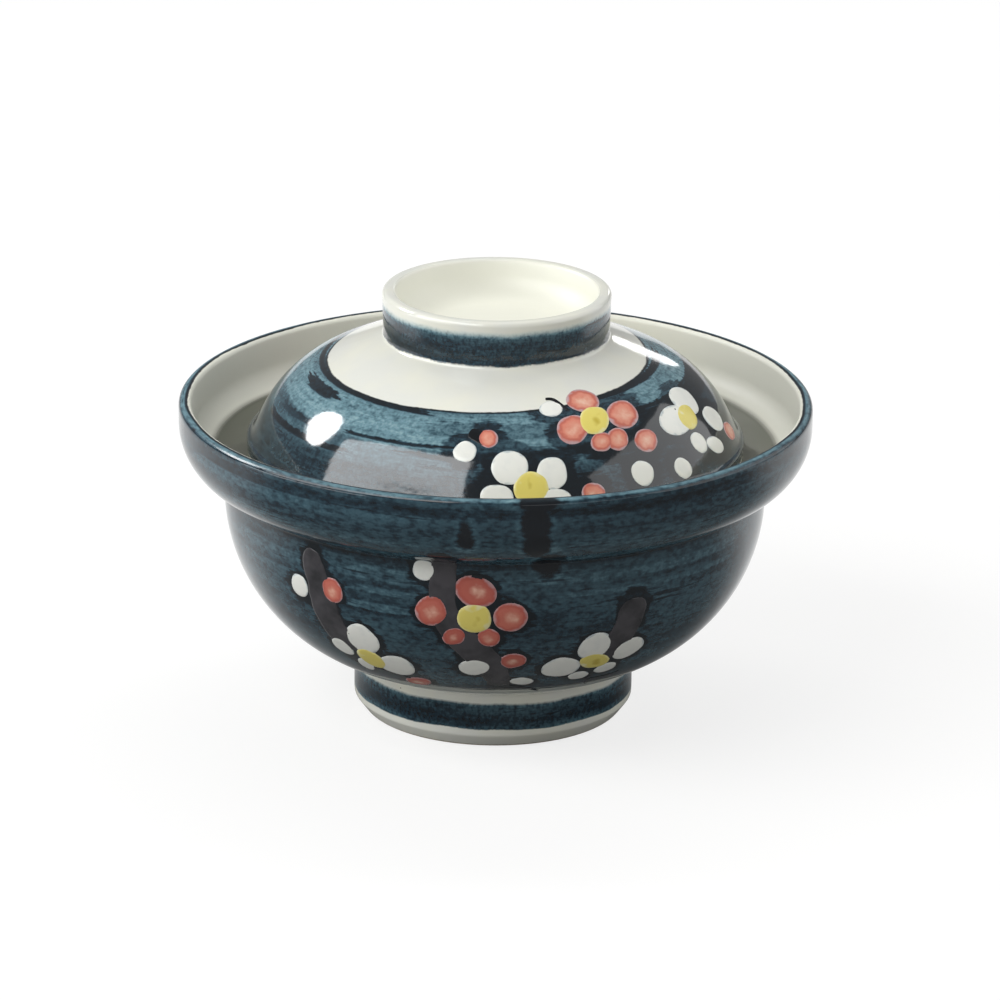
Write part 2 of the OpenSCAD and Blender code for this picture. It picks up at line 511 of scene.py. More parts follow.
def divide_long_edges(piece, longest):
    """In edit mode, halves the edges longer than a length until none is left."""
    while True:
        bpy.ops.mesh.select_all(action="DESELECT")
        bpy.ops.mesh.select_mode(type="EDGE")
        bpy.ops.object.mode_set(mode="OBJECT")
        vertices = piece.data.vertices
        found = 0
        for e in piece.data.edges:
            a, b = (vertices[i].co for i in e.vertices)
            e.select = (a - b).length > longest
            found += e.select
        bpy.ops.object.mode_set(mode="EDIT")
        if not found:
            return
        bpy.ops.mesh.subdivide(number_cuts=1)


def wave(piece, outline, low, high, shape):
    """Gives the outside of a turned piece, between two heights, the slight waves of a thrown wall."""
    group = piece.vertex_groups.new(name="thrown")
    start, end = outline.rise(low), outline.rise(high)
    fade = (end - start) / 6
    for v, along in zip(piece.data.vertices, values(piece, "along")):
        weight = min(along - start, end - along) / fade
        if weight > 0:
            group.add([v.index], min(1, weight), "REPLACE")
    clouds = bpy.data.textures.new("thrown_wall", "CLOUDS")
    clouds.noise_scale = shape.ripple_size
    apply_modifier(
        piece,
        "DISPLACE",
        texture=clouds,
        texture_coords="LOCAL",
        strength=shape.ripple,
        vertex_group=group.name,
    )
    piece.vertex_groups.clear()


def values(piece, name):
    """A float attribute of the mesh's points as an array."""
    data = piece.data.attributes[name].data
    found = np.empty(len(data), np.float32)
    data.foreach_get("value", found)
    return found


def darken_beside(piece, outline, dabs, reach):
    """Stores how close each point of a turned piece lies to a dab, for the dark wash around it."""
    along = values(piece, "along")
    place = np.empty(len(piece.data.vertices) * 3, np.float32)
    piece.data.vertices.foreach_get("co", place)
    x, y, _ = place.reshape(-1, 3).T / MM
    radius, angle = np.hypot(x, y), np.arctan2(x, -y)
    wash = np.zeros(len(along), np.float32)
    for dab in dabs:
        centre = outline.rise(dab.height)
        turned_away = (angle - radians(dab.angle) + pi) % tau - pi
        across, up = turned_away * radius, along - centre
        c, s = cos(radians(dab.turn)), sin(radians(dab.turn))
        out = np.hypot((across * c + up * s) / dab.long, (up * c - across * s) / dab.short) * 2 - 1
        near = 1 - np.clip(out * min(dab.long, dab.short) / 2 / reach, 0, 1)
        wash = np.maximum(wash, near * near * (3 - 2 * near))
    piece.data.attributes.new("wash", "FLOAT", "POINT").data.foreach_set("value", wash)


# Dabs and strokes


class Surface:
    """The finished outside of a turned piece, to lay dabs and strokes on."""

    def __init__(self, piece, outline):
        self.outline = outline
        vertices = [v.co.copy() for v in piece.data.vertices]
        self.tree = BVHTree.FromPolygons(vertices, [tuple(p.vertices) for p in piece.data.polygons])

    def spot(self, angle, along, height):
        """The point that far over the surface, at an angle in radians and a distance along the outline."""
        radius, z = self.outline.at(along)
        near = Vector((radius * sin(angle), -radius * cos(angle), z)) * MM
        place, normal, _, _ = self.tree.find_nearest(near)
        return place + normal * height


def dab_mould():
    """A domed disc of radius and height 1: a ring drawn inwards and upwards step by step."""
    bpy.ops.object.select_all(action="DESELECT")
    bpy.ops.mesh.primitive_circle_add(vertices=32, radius=1, fill_type="NOTHING")
    mould = bpy.context.object
    edit(mould)
    ring, rise = 1.0, 0.0
    for next_ring, next_rise in DAB_RINGS:
        bpy.ops.mesh.extrude_region_move()
        scale = next_ring / ring
        bpy.ops.transform.resize(value=(scale, scale, 1), center_override=(0, 0, 0))
        bpy.ops.transform.translate(value=(0, 0, next_rise - rise))
        ring, rise = next_ring, next_rise
    bpy.ops.mesh.extrude_region_move()
    bpy.ops.mesh.merge(type="CENTER")
    bpy.ops.mesh.select_all(action="SELECT")
    bpy.ops.mesh.normals_make_consistent(inside=False)
    bpy.ops.object.mode_set(mode="OBJECT")
    bpy.ops.object.shade_smooth()
    lay_out(mould)
    return mould


def stroke_mould():
    """A flat strip from -1 to 1 each way, with its long side along X and closer rows at its edges."""
    bpy.ops.object.select_all(action="DESELECT")
    bpy.ops.mesh.primitive_grid_add(x_subdivisions=64, y_subdivisions=12, size=2)
    mould = bpy.context.object
    for v in mould.data.vertices:
        v.co.y = sin(v.co.y * pi / 2)
    bpy.ops.object.shade_smooth()
    lay_out(mould)
    return mould


def lay_out(mould):
    """A UV map that gives the place on the mould, from 0 to 1 each way."""
    while mould.data.uv_layers:
        mould.data.uv_layers.remove(mould.data.uv_layers[0])
    layer = mould.data.uv_layers.new(name="dab")
    for loop in mould.data.loops:
        x, y, _ = mould.data.vertices[loop.vertex_index].co
        layer.data[loop.index].uv = (x / 2 + 0.5, y / 2 + 0.5)
    mould.data.attributes.new("tone", "FLOAT", "POINT")


def cast(mould, seed, tones=(0, 1)):
    """A copy of a mould with its own mesh, and a tone between two."""
    piece = mould.copy()
    piece.data = mould.data.copy()
    bpy.context.collection.objects.link(piece)
    low, high = tones
    tone = low + (high - low) * abs(noise.cell(Vector((seed * 1.7, 3.1, seed * 0.9))))
    for point in piece.data.attributes["tone"].data:
        point.value = tone
    return piece


def lay_dab(mould, surface, dab, height, sink, tones, seed):
    """A dab of slip on the surface, with the uneven edge of a brush."""
    piece = cast(mould, seed, tones)
    centre = surface.outline.rise(dab.height)
    turn = Matrix.Rotation(radians(dab.turn), 2)
    for v in piece.data.vertices:
        x, y, up = v.co
        around = Vector((x, y, 0)).normalized() * 0.9
        uneven = 1 + 0.13 * noise.noise(around + Vector((seed * 7.3, seed * 2.9, 0)))
        across, rise = turn @ Vector((x * dab.long / 2, y * dab.short / 2)) * uneven
        along = centre + rise
        radius = surface.outline.at(along)[0]
        lump = 1 + 0.1 * noise.noise(Vector((x * 1.4, y * 1.4, seed * 3.7)))
        over = up * lump * height - (1 - up) * sink
        v.co = surface.spot(radians(dab.angle) + across / radius, along, over)
    return piece


def curve_through(points, share):
    """A point of the smooth curve through a row of points, at a share from 0 to 1 of the row."""
    place = share * (len(points) - 1)
    i = min(int(place), len(points) - 2)
    t = place - i
    a, b, c, d = (np.array(points[min(max(k, 0), len(points) - 1)]) for k in range(i - 1, i + 3))
    return 0.5 * (2 * b + (c - a) * t + (2 * a - 5 * b + 4 * c - d) * t**2 + (3 * b - a - 3 * c + d) * t**3)


def lay_stroke(mould, surface, points, height, sink, seed):
    """A brush stroke on the surface, along a row of points, with round ends."""
    piece = cast(mould, seed)
    flat = []
    for p in points:
        along = surface.outline.rise(p.height)
        flat.append((radians(p.angle), along, p.width))
    length_of = sum(
        hypot((b[0] - a[0]) * surface.outline.at(b[1])[0], b[1] - a[1]) for a, b in zip(flat, flat[1:])
    )
    for v in piece.data.vertices:
        x, y, _ = v.co
        share = (x + 1) / 2
        angle, along, width = curve_through(flat, share)
        radius = surface.outline.at(along)[0]
        before, after = (curve_through(flat, min(max(share + k, 0), 1)) for k in (-0.02, 0.02))
        lead = Vector(((after[0] - before[0]) * radius, after[1] - before[1])).normalized()
        end = min(share, 1 - share) * length_of / (width / 2)
        round_end = sqrt(max(0, 1 - (1 - min(1, end)) ** 2))
        ragged = 1 + 0.1 * noise.noise(Vector((share * length_of / 4, y, seed * 5.1)))
        side = y * width / 2 * round_end * ragged
        along += side * lead.x
        over = height if abs(y) < 0.99 and end > 0 else -sink
        v.co = surface.spot(angle - side * lead.y / radius, along, over)
    return piece


def joined(name, parts, material, body):
    """Joins dabs or strokes to one piece that rides on a body."""
    select_only(parts[0])
    for part in parts:
        part.select_set(True)
    bpy.ops.object.join()
    piece = bpy.context.object
    piece.name = piece.data.name = name
    edit(piece)
    bpy.ops.mesh.remove_doubles(threshold=WELD)
    bpy.ops.object.mode_set(mode="OBJECT")
    piece.data.materials.clear()
    piece.data.materials.append(material)
    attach(piece, body)
    return piece


def around_the_back(rows, sprays):
    """A spray's dabs or strokes, once for each place that it is painted."""
    found = []
    for turn in sprays:
        for row in rows:
            if hasattr(row, "angle"):
                found.append(row._replace(angle=row.angle + turn))
            else:
                found.append(tuple(p._replace(angle=p.angle + turn) for p in row))
    return found


# Materials


# Map Range goes softly from one value to the other, and Mix blends colours
SOFT = {"interpolation_type": "SMOOTHSTEP"}
BLEND = {"data_type": "RGBA", "out": 2}

# Radius of the wall at which brush marks have their stated length, and of the largest iron speck
MARK_RADIUS = 65 * MM
SPECK_RADIUS = 0.5 * MM

ENAMEL_INDEX = 1.5
INDIGO_TONES = (0.04, 0.25, 0.5, 0.74, 0.98)


def node(tree, kind, inputs=(), out=0, stops=None, **settings):
    """Adds a node with its settings, its values and its links, and gives one of its outputs. The inputs come
    by name or number, or in their order."""
    made = tree.nodes.new("ShaderNode" + kind)
    for name, value in settings.items():
        setattr(made, name, value)
    for key, value in inputs.items() if isinstance(inputs, dict) else enumerate(inputs):
        if isinstance(value, bpy.types.NodeSocket):
            tree.links.new(value, made.inputs[key])
        else:
            made.inputs[key].default_value = value
    if stops:
        elements = made.color_ramp.elements
        elements.remove(elements[1])
        elements[0].position = stops[0][0]
        for place, _ in stops[1:]:
            elements.new(place)
        for element, (_, shade) in zip(elements, stops):
            element.color = (shade, shade, shade, 1) if isinstance(shade, float) else (*shade, 1)
    return made.outputs[out] if made.outputs else None


def new_material(name):
    """An empty material, and node() for its tree."""
    material = bpy.data.materials.new(name)
    material.use_nodes = True
    material.node_tree.nodes.clear()
    return material, partial(node, material.node_tree)


def finish_material(material, add, finish):
    shader = add("BsdfPrincipled", finish)
    add("OutputMaterial", {"Surface": shader})
    return material


def rgba(shade):
    return (*shade, 1)


# What the painting reads at a point: its place, the direction around the axis, the radius, the angle to the
# right of the front, the distance along the outline, the dark wash, and the marks of the brush, around 0
Field = namedtuple("Field", "place around radius angle along wash broad streaks flecks drift grain")


def brush_marks(add, around, along, run, width, detail, shift):
    """Noise drawn out along the turning of the wheel, around 0."""
    turns = MARK_RADIUS / run
    spread = add("VectorMath", (around, (turns, turns, 0)), operation="MULTIPLY")
    rise = add("Math", (along, MM / width), operation="MULTIPLY")
    lift = add("CombineXYZ", (shift, 0, rise))
    at = add("VectorMath", (spread, lift), operation="ADD")
    cloud = add("TexNoise", {"Vector": at, "Scale": 1, "Detail": detail, "Roughness": 0.6}, out="Fac")
    return add("Math", (cloud, 0.5), operation="SUBTRACT")


def brush_field(add, paint):
    """The field of a turned piece, for its painting."""
    place = add("TexCoord", out="Object")
    flat = add("VectorMath", (place, (1, 1, 0)), operation="MULTIPLY")
    around = add("VectorMath", (flat,), operation="NORMALIZE")
    radius = add("VectorMath", (flat,), out="Value", operation="LENGTH")
    right = add("VectorMath", (flat, (1, 0, 0)), out="Value", operation="DOT_PRODUCT")
    front = add("VectorMath", (flat, (0, -1, 0)), out="Value", operation="DOT_PRODUCT")
    angle = add("Math", (right, front), operation="ARCTAN2")
    along = add("Attribute", out="Fac", attribute_name="along")
    wash = add("Attribute", out="Fac", attribute_name="wash")
    broad = brush_marks(add, around, along, paint.stroke_length, paint.stroke_width, 1, 0)
    streaks = brush_marks(add, around, along, paint.streak_length, paint.streak_width, 2, 5)
    flecks = brush_marks(add, around, along, paint.fleck_length, paint.fleck_width, 1, 9)
    flecks = add("Math", (flecks, 0.09), operation="MINIMUM")
    drift = brush_marks(add, around, along, paint.drift_length, paint.drift_width, 1, 13)
    grain = add("TexNoise", {"Vector": place, "Scale": 1 / paint.grain, "Detail": 2}, out="Fac")
    grain = add("Math", (grain, 0.5), operation="SUBTRACT")
    return Field(place, around, radius, angle, along, wash, broad, streaks, flecks, drift, grain)


def slipped(add, field, outline, lean):
    """The distance along the outline as the brush followed it: unsteady, and slanted between two heights."""
    right, back, low, high = lean
    low, high = outline.rise(low), outline.rise(high)
    slip = add("VectorMath", (field.around, (right, back, 0)), out="Value", operation="DOT_PRODUCT")
    begun = add("MapRange", (field.along, low, low + 8), **SOFT)
    left = add("MapRange", (field.along, high, high + 4, 1, 0), **SOFT)
    for share in (begun, left):
        slip = add("Math", (slip, share), operation="MULTIPLY")
    wavy = add("Math", (field.drift, 1.4, field.along), operation="MULTIPLY_ADD")
    wavy = add("Math", (field.flecks, 0.35, wavy), operation="MULTIPLY_ADD")
    return add("Math", (wavy, slip), operation="ADD")


def with_strokes(add, field, outline, strokes, tone):
    """The tone with single strokes over it, ragged at their ends."""
    ragged = add("Math", (field.streaks, 0.5, field.angle), operation="MULTIPLY_ADD")
    uneven = add("Math", (field.flecks, 0.9, field.along), operation="MULTIPLY_ADD")
    for s in strokes:
        start, end = radians(s.start), radians(s.end)
        low, high = outline.rise(s.start_height), outline.rise(s.end_height)
        middle = add("MapRange", (field.angle, start, end, low, high))
        off = add("Math", (uneven, middle), operation="SUBTRACT")
        off = add("Math", (off,), operation="ABSOLUTE")
        share = add("MapRange", (off, s.width / 2 - 0.3, s.width / 2 + 0.3, 1, 0), **SOFT)
        begun = add("MapRange", (ragged, start, start + 0.06), **SOFT)
        left = add("MapRange", (ragged, end - 0.06, end, 1, 0), **SOFT)
        for part in (begun, left):
            share = add("Math", (share, part), operation="MULTIPLY")
        tone = add("Mix", {0: share, 2: tone, 3: s.tone})
    return tone


def outside_runs(add, field, outline, runs):
    """How many millimetres a point lies outside the runs, less than 0 inside one."""
    away = 10.0
    for run in runs:
        aside = add("Math", (field.angle, radians(run.angle)), operation="SUBTRACT")
        aside = add("Math", (aside, pi, -pi), operation="WRAP")
        across = add("Math", (aside, field.radius), operation="MULTIPLY")
        up = add("Math", (field.along, outline.rise(run.height)), operation="SUBTRACT")
        spot = add("CombineXYZ", (across, up))
        share = (2 / (run.wide * MM), 2 / run.tall, 0)
        spot = add("VectorMath", (spot, share), operation="MULTIPLY")
        out = add("VectorMath", (spot,), out="Value", operation="LENGTH")
        half = min(run.wide, run.tall) / 2
        out = add("Math", (out, half, -half), operation="MULTIPLY_ADD")
        away = add("Math", (out, away, 1.2), operation="SMOOTH_MIN")
    return add("Math", (field.flecks, 1.4, away), operation="MULTIPLY_ADD")


def brushed_indigo(name, paint, outline, glaze):
    """Porcelain with indigo brushed round it on the wheel, under a clear glossy glaze: streaks that run
    round the piece, flecks and grains of pigment, soft edges to the white, and a wet shine over all."""
    material, add = new_material(name)
    field = brush_field(add, paint)
    wavy = slipped(add, field, outline, glaze.lean)
    painted = 0.0
    for low, high, soft in glaze.bands:
        start, end = outline.rise(low), outline.rise(high)
        begun = add("MapRange", (wavy, start - 0.2, start + 0.2), **SOFT)
        left = add("MapRange", (wavy, end - soft, end + soft, 1, 0), **SOFT)
        painted = add("Math", (begun, left, painted), operation="MULTIPLY_ADD")

    first, last = outline.rise(glaze.tones[0][0]), outline.rise(glaze.tones[-1][0])
    reach = add("MapRange", (wavy, first, last))
    stops = [((outline.rise(height) - first) / (last - first), lit) for height, lit in glaze.tones]
    tone = add("ValToRGB", (reach,), stops=stops)
    broad, streaks, flecks, grain = glaze.marks
    for mark, strength in ((field.broad, broad), (field.streaks, streaks)):
        tone = add("Math", (mark, strength, tone), operation="MULTIPLY_ADD")
    tone = with_strokes(add, field, outline, glaze.strokes, tone)
    broken = field.wash
    for mark, strength in ((field.broad, 1.2), (field.streaks, 1.6)):
        broken = add("Math", (mark, strength, broken), operation="MULTIPLY_ADD")
    washed = add("MapRange", (broken, 0.2, 0.55, 0, -0.42), **SOFT)
    tone = add("Math", (tone, washed), operation="ADD")
    for mark, strength in ((field.flecks, flecks), (field.grain, grain)):
        tone = add("Math", (mark, strength, tone), operation="MULTIPLY_ADD")

    away = outside_runs(add, field, outline, glaze.runs)
    near = add("MapRange", (away, 0.2, 0.7), **SOFT)
    far = add("MapRange", (away, 0.9, 2, 0.1, 0), **SOFT)
    tone = add("Math", (near, far, tone), operation="MULTIPLY_ADD")
    shades = (paint.black, paint.deep, paint.middle, paint.light, paint.pale)
    stops = [(at, tuple(shade)) for at, shade in zip(INDIGO_TONES, shades)]
    indigo = add("ValToRGB", (tone,), stops=stops)
    covered = add("MapRange", (away, -0.5, 0.4, 0.95, 0), **SOFT)
    indigo = add("Mix", {0: covered, 6: indigo, 7: rgba(paint.run)}, **BLEND)

    satin, top = outline.rise(glaze.satin), outline.along[outline.top]
    start, end = (top + past for past in glaze.pool)
    inside = add("MapRange", (field.along, satin, satin + 2), **SOFT)
    # Painted shade on the ledge under the lid: from the pool's start the white turns dark olive grey
    unsteady = add("Math", (field.drift, 0.8, field.along), operation="MULTIPLY_ADD")
    begun = add("MapRange", (unsteady, start - 1.5, start + 1), **SOFT)
    left = add("MapRange", (field.along, end, end + 2, 1, 0), **SOFT)
    thick = add("Math", (begun, left), operation="MULTIPLY")
    base = white_ground(add, field.place, paint)
    for share, shade in ((inside, rgba(paint.white_low)), (thick, rgba(paint.pooled)), (painted, indigo)):
        base = add("Mix", {0: share, 6: base, 7: shade}, **BLEND)

    dimples = add("TexNoise", {"Vector": field.place, "Scale": 1 / (4 * MM), "Detail": 2}, out="Fac")
    normal = add("Bump", {"Height": dimples, "Strength": 0.6, "Distance": 0.05 * MM})
    gloss = add("MapRange", (field.grain, -0.5, 0.5, 0.04, 0.12))
    above = add("MapRange", (field.along, start - 1, start + 1, 0.4, 0), **SOFT)
    gloss = add("Math", (inside, above, gloss), operation="MULTIPLY_ADD")
    finish = {"Base Color": base, "Roughness": gloss, "IOR": glaze.index, "Normal": normal}
    return finish_material(material, add, finish)


def white_ground(add, place, paint):
    """Cream white glaze: faintly warmer where it pooled, with a few specks of iron."""
    pool = add("TexNoise", {"Vector": place, "Scale": 1 / (14 * MM), "Detail": 2}, out="Fac")
    patch = add("MapRange", (pool, 0.4, 0.65))
    cream = add("Mix", {0: patch, 6: rgba(paint.white), 7: rgba(paint.white_low)}, **BLEND)
    speck = iron_specks(add, place, 11 * MM, 0.55)
    return add("Mix", {0: speck, 6: cream, 7: rgba(paint.speck)}, **BLEND)


def iron_specks(add, place, spacing, rare):
    """Where the glaze has a speck: at most one in each cell, and none in the rare share of the cells."""
    cells = {"Vector": place, "Scale": 1 / spacing}
    near = add("TexVoronoi", cells, out="Distance")
    chance = add("SeparateXYZ", (add("TexVoronoi", cells, out="Color"),))
    size = add("MapRange", (chance, rare, 1, 0, SPECK_RADIUS / spacing))
    return add("Math", (near, size), operation="LESS_THAN")


def bare_clay():
    """Fired clay where the foot ring was wiped clean: matt, warm grey, with fine grit."""
    material, add = new_material("Bare fired clay")
    place = add("TexCoord", out="Object")
    grit = add("TexNoise", {"Vector": place, "Scale": 1 / (0.6 * MM), "Detail": 3}, out="Fac")
    base = add("ValToRGB", (grit,), stops=[(0.3, linear("#9d9180")), (0.7, linear("#d8cdbb"))])
    normal = add("Bump", {"Height": grit, "Strength": 0.6, "Distance": 0.05 * MM})
    return finish_material(material, add, {"Base Color": base, "Roughness": 0.85, "Normal": normal})


def place_on_dab(add):
    """The place on a dab from -1 to 1 each way, a little uneven, and the place on the object."""
    uv = add("UVMap", uv_map="dab")
    spot = add("VectorMath", (uv, (2, 2, 0), (-1, -1, 0)), operation="MULTIPLY_ADD")
    place = add("TexCoord", out="Object")
    shake = add("TexNoise", {"Vector": place, "Scale": 1 / (2.2 * MM), "Detail": 2}, out="Color")
    shaken = add("VectorMath", (shake, (0.5, 0.5, 0.5), spot), operation="MULTIPLY_ADD")
    return add("VectorMath", (shaken, (0.25, 0.25, 0.25)), operation="SUBTRACT"), place


def coral_enamel(enamel):
    """Coral enamel over a dab of white slip: a pale rim, a full red edge, and a thin middle where the
    white shines through, all glassy."""
    material, add = new_material("Coral enamel over white slip")
    spot, place = place_on_dab(add)
    tone = add("Attribute", out="Fac", attribute_name="tone")
    out = add("VectorMath", (spot,), out="Value", operation="LENGTH")
    offset = add("VectorMath", (spot, (0.06, 0.06, 0)), operation="ADD")
    off_centre = add("VectorMath", (offset,), out="Value", operation="LENGTH")
    blotch = add("TexNoise", {"Vector": place, "Scale": 1 / (1.7 * MM), "Detail": 2}, out="Fac")
    reach = add("MapRange", (tone, 0, 1, 0.45, 1))
    thin = add("MapRange", (off_centre, 0.1, reach, 0.75, 0), **SOFT)
    patchy = add("MapRange", (blotch, 0.35, 0.65, 0.4, 1.15), clamp=False)
    thin = add("Math", (thin, patchy), operation="MULTIPLY")
    ring = add("MapRange", (tone, 0, 1, 0.8, 0.55))
    thick = add("MapRange", (out, 0.58, 0.8, 0, ring), **SOFT)
    pale = add("MapRange", (tone, 0, 1, 0.6, 1))
    rim = add("MapRange", (out, 0.78, 1, 0, pale), **SOFT)
    heavy = add("MapRange", (tone, 0, 0.6, 0.9, 0))
    base = rgba(enamel.coral)
    layers = (
        (heavy, enamel.coral_deep),
        (thin, enamel.coral_light),
        (thick, enamel.coral_deep),
        (rim, enamel.coral_edge),
    )
    for share, shade in layers:
        base = add("Mix", {0: share, 6: base, 7: rgba(shade)}, **BLEND)
    normal = add("Bump", {"Height": blotch, "Strength": 0.2, "Distance": 0.08 * MM})
    finish = {"Base Color": base, "Roughness": 0.14, "IOR": ENAMEL_INDEX, "Normal": normal}
    return finish_material(material, add, finish)


def white_enamel(enamel):
    """Thick white slip under the clear glaze: opaque in the middle, with the indigo showing through
    its thin edge."""
    material, add = new_material("White slip under clear glaze")
    spot, place = place_on_dab(add)
    out = add("VectorMath", (spot,), out="Value", operation="LENGTH")
    edge = add("MapRange", (out, 0.84, 1.05), **SOFT)
    cloud = add("TexNoise", {"Vector": place, "Scale": 1 / (3 * MM), "Detail": 2}, out="Fac")
    thin = add("MapRange", (cloud, 0.5, 0.8, 0, 0.2))
    share = add("Math", (edge, thin), operation="MAXIMUM")
    speck = iron_specks(add, place, 5 * MM, 0.8)
    base = rgba(enamel.white)
    for mask, shade in ((share, enamel.white_edge), (speck, enamel.brown)):
        base = add("Mix", {0: mask, 6: base, 7: rgba(shade)}, **BLEND)
    return finish_material(material, add, {"Base Color": base, "Roughness": 0.12, "IOR": ENAMEL_INDEX})


def yellow_enamel(enamel):
    """Yellow enamel, laid on wet: bright where it is thin, olive where it pooled."""
    material, add = new_material("Yellow enamel")
    spot, place = place_on_dab(add)
    pool = add("TexNoise", {"Vector": place, "Scale": 1 / (3 * MM), "Detail": 1}, out="Fac")
    out = add("VectorMath", (spot,), out="Value", operation="LENGTH")
    thick = add("Math", (out, -0.25, pool), operation="MULTIPLY_ADD")
    thin, even, dark = (tuple(shade) for shade in (enamel.yellow_thin, enamel.yellow, enamel.yellow_dark))
    base = add("ValToRGB", (thick,), stops=[(0.02, thin), (0.2, even), (0.5, even), (0.74, dark)])
    rim = add("MapRange", (out, 0.75, 1.05, 0, 0.6), **SOFT)
    base = add("Mix", {0: rim, 6: base, 7: rgba(thin)}, **BLEND)
    normal = add("Bump", {"Height": pool, "Strength": 0.2, "Distance": 0.08 * MM})
    finish = {"Base Color": base, "Roughness": 0.16, "IOR": ENAMEL_INDEX, "Normal": normal}
    return finish_material(material, add, finish)


def iron_brown(enamel):
    """Iron brown brushed under the clear glaze: an even grey brown that goes black where it is thick."""
    material, add = new_material("Iron brown under clear glaze")
    place = add("TexCoord", out="Object")
    cloud = add("TexNoise", {"Vector": place, "Scale": 1 / (7 * MM), "Detail": 3}, out="Fac")
    share = add("MapRange", (cloud, 0.4, 0.7, 0, 0.75))
    base = add("Mix", {0: share, 6: rgba(enamel.brown), 7: rgba(enamel.brown_dark)}, **BLEND)
    return finish_material(material, add, {"Base Color": base, "Roughness": 0.12, "IOR": ENAMEL_INDEX})


def iron_black(enamel):
    """Thick iron in thin lines under the clear glaze: almost black, and wet."""
    material, add = new_material("Iron black under clear glaze")
    place = add("TexCoord", out="Object")
    cloud = add("TexNoise", {"Vector": place, "Scale": 1 / (4 * MM), "Detail": 3}, out="Fac")
    stops = [(0.35, tuple(enamel.brown_dark)), (0.7, linear("#20242a"))]
    base = add("ValToRGB", (cloud,), stops=stops)
    return finish_material(material, add, {"Base Color": base, "Roughness": 0.09, "IOR": ENAMEL_INDEX})


# Operators

# The finished surfaces by body, for the dabs and strokes on them
laid = {}


def throw_and_glaze(scene, body, name, wall, dabs, reach, glaze):
    """A body's turned piece with its wall waved between two heights, glazed and ready for the painting."""
    piece, outline = turned(body, scene.donburi_shape)
    piece.name = piece.data.name = name
    wave(piece, outline, *wall, scene.donburi_shape)
    darken_beside(piece, outline, dabs, reach)
    material = brushed_indigo(f"Brushed indigo on the {body}", scene.donburi_paint, outline, glaze)
    piece.data.materials.append(material)
    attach(piece, body)
    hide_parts(body)
    laid[body] = Surface(piece, outline)
    return piece


class DONBURI_OT_bowl(bpy.types.Operator):
    """Turn the bowl from its section and glaze it, all but the bare foot"""

    bl_idname = "donburi.bowl"
    bl_label = "Bowl"

    def execute(self, context):
        wood = tuple(Dab(p.angle, p.height, p.width, p.width, 0) for row in BOWL_BRANCHES for p in row)
        dabs = around_the_back(BOWL_CORAL + BOWL_WHITE + BOWL_YELLOW + wood, BOWL_SPRAYS)
        glaze = Glaze(
            bands=BOWL_BANDS,
            tones=BOWL_TONES,
            strokes=BOWL_STROKES,
            runs=around_the_back(BOWL_RUNS, BOWL_SPRAYS),
            lean=(0, 0, *BOWL_WALL),
            marks=(0.55, 0.3, 0.72, 0.2),
            satin=80.3,
            pool=(16.3, 27),
            index=1.52,
        )
        piece = throw_and_glaze(context.scene, "bowl", "bowl_body", BOWL_WALL, dabs, BOWL_WASH, glaze)
        piece.data.materials.append(bare_clay())
        for face in piece.data.polygons:
            face.material_index = int(face.center.z < context.scene.donburi_shape.bare_below)
        return {"FINISHED"}


class DONBURI_OT_lid(bpy.types.Operator):
    """Turn the lid from its section and glaze it"""

    bl_idname = "donburi.lid"
    bl_label = "Lid"

    def execute(self, context):
        dabs = around_the_back(LID_CORAL + LID_WHITE + LID_YELLOW, LID_SPRAYS)
        glaze = Glaze(
            bands=LID_BANDS,
            tones=LID_TONES,
            strokes=LID_STROKES,
            runs=(),
            lean=(-2.45, -3.5, 73, 94.9),
            marks=(0.35, 0.45, 0.6, 0.25),
            satin=110.9,
            pool=(50, 50),
            index=1.7,
        )
        throw_and_glaze(context.scene, "lid", "lid_dome", LID_WALL, dabs, LID_WASH, glaze)
        return {"FINISHED"}


class DONBURI_OT_branches(bpy.types.Operator):
    """Paint the branches and the twigs"""

    bl_idname = "donburi.branches"
    bl_label = "Branches"

    def execute(self, context):
        enamel = context.scene.donburi_enamel
        brown, black = iron_brown(enamel), iron_black(enamel)
        mould = stroke_mould()
        groups = (
            ("bowl", "bowl_branches", BOWL_BRANCHES, BOWL_SPRAYS, brown),
            ("bowl", "bowl_twigs", BOWL_TWIGS, BOWL_SPRAYS, black),
            ("lid", "lid_branches", LID_BRANCHES, LID_SPRAYS, black),
            ("lid", "lid_twigs", LID_TWIGS, LID_SPRAYS, black),
        )
        for body, name, rows, sprays, material in groups:
            parts = [
                lay_stroke(mould, laid[body], row, enamel.stroke_height, enamel.sink, seed)
                for seed, row in enumerate(around_the_back(rows, sprays))
            ]
            joined(name, parts, material, body)
        bpy.data.objects.remove(mould)
        return {"FINISHED"}


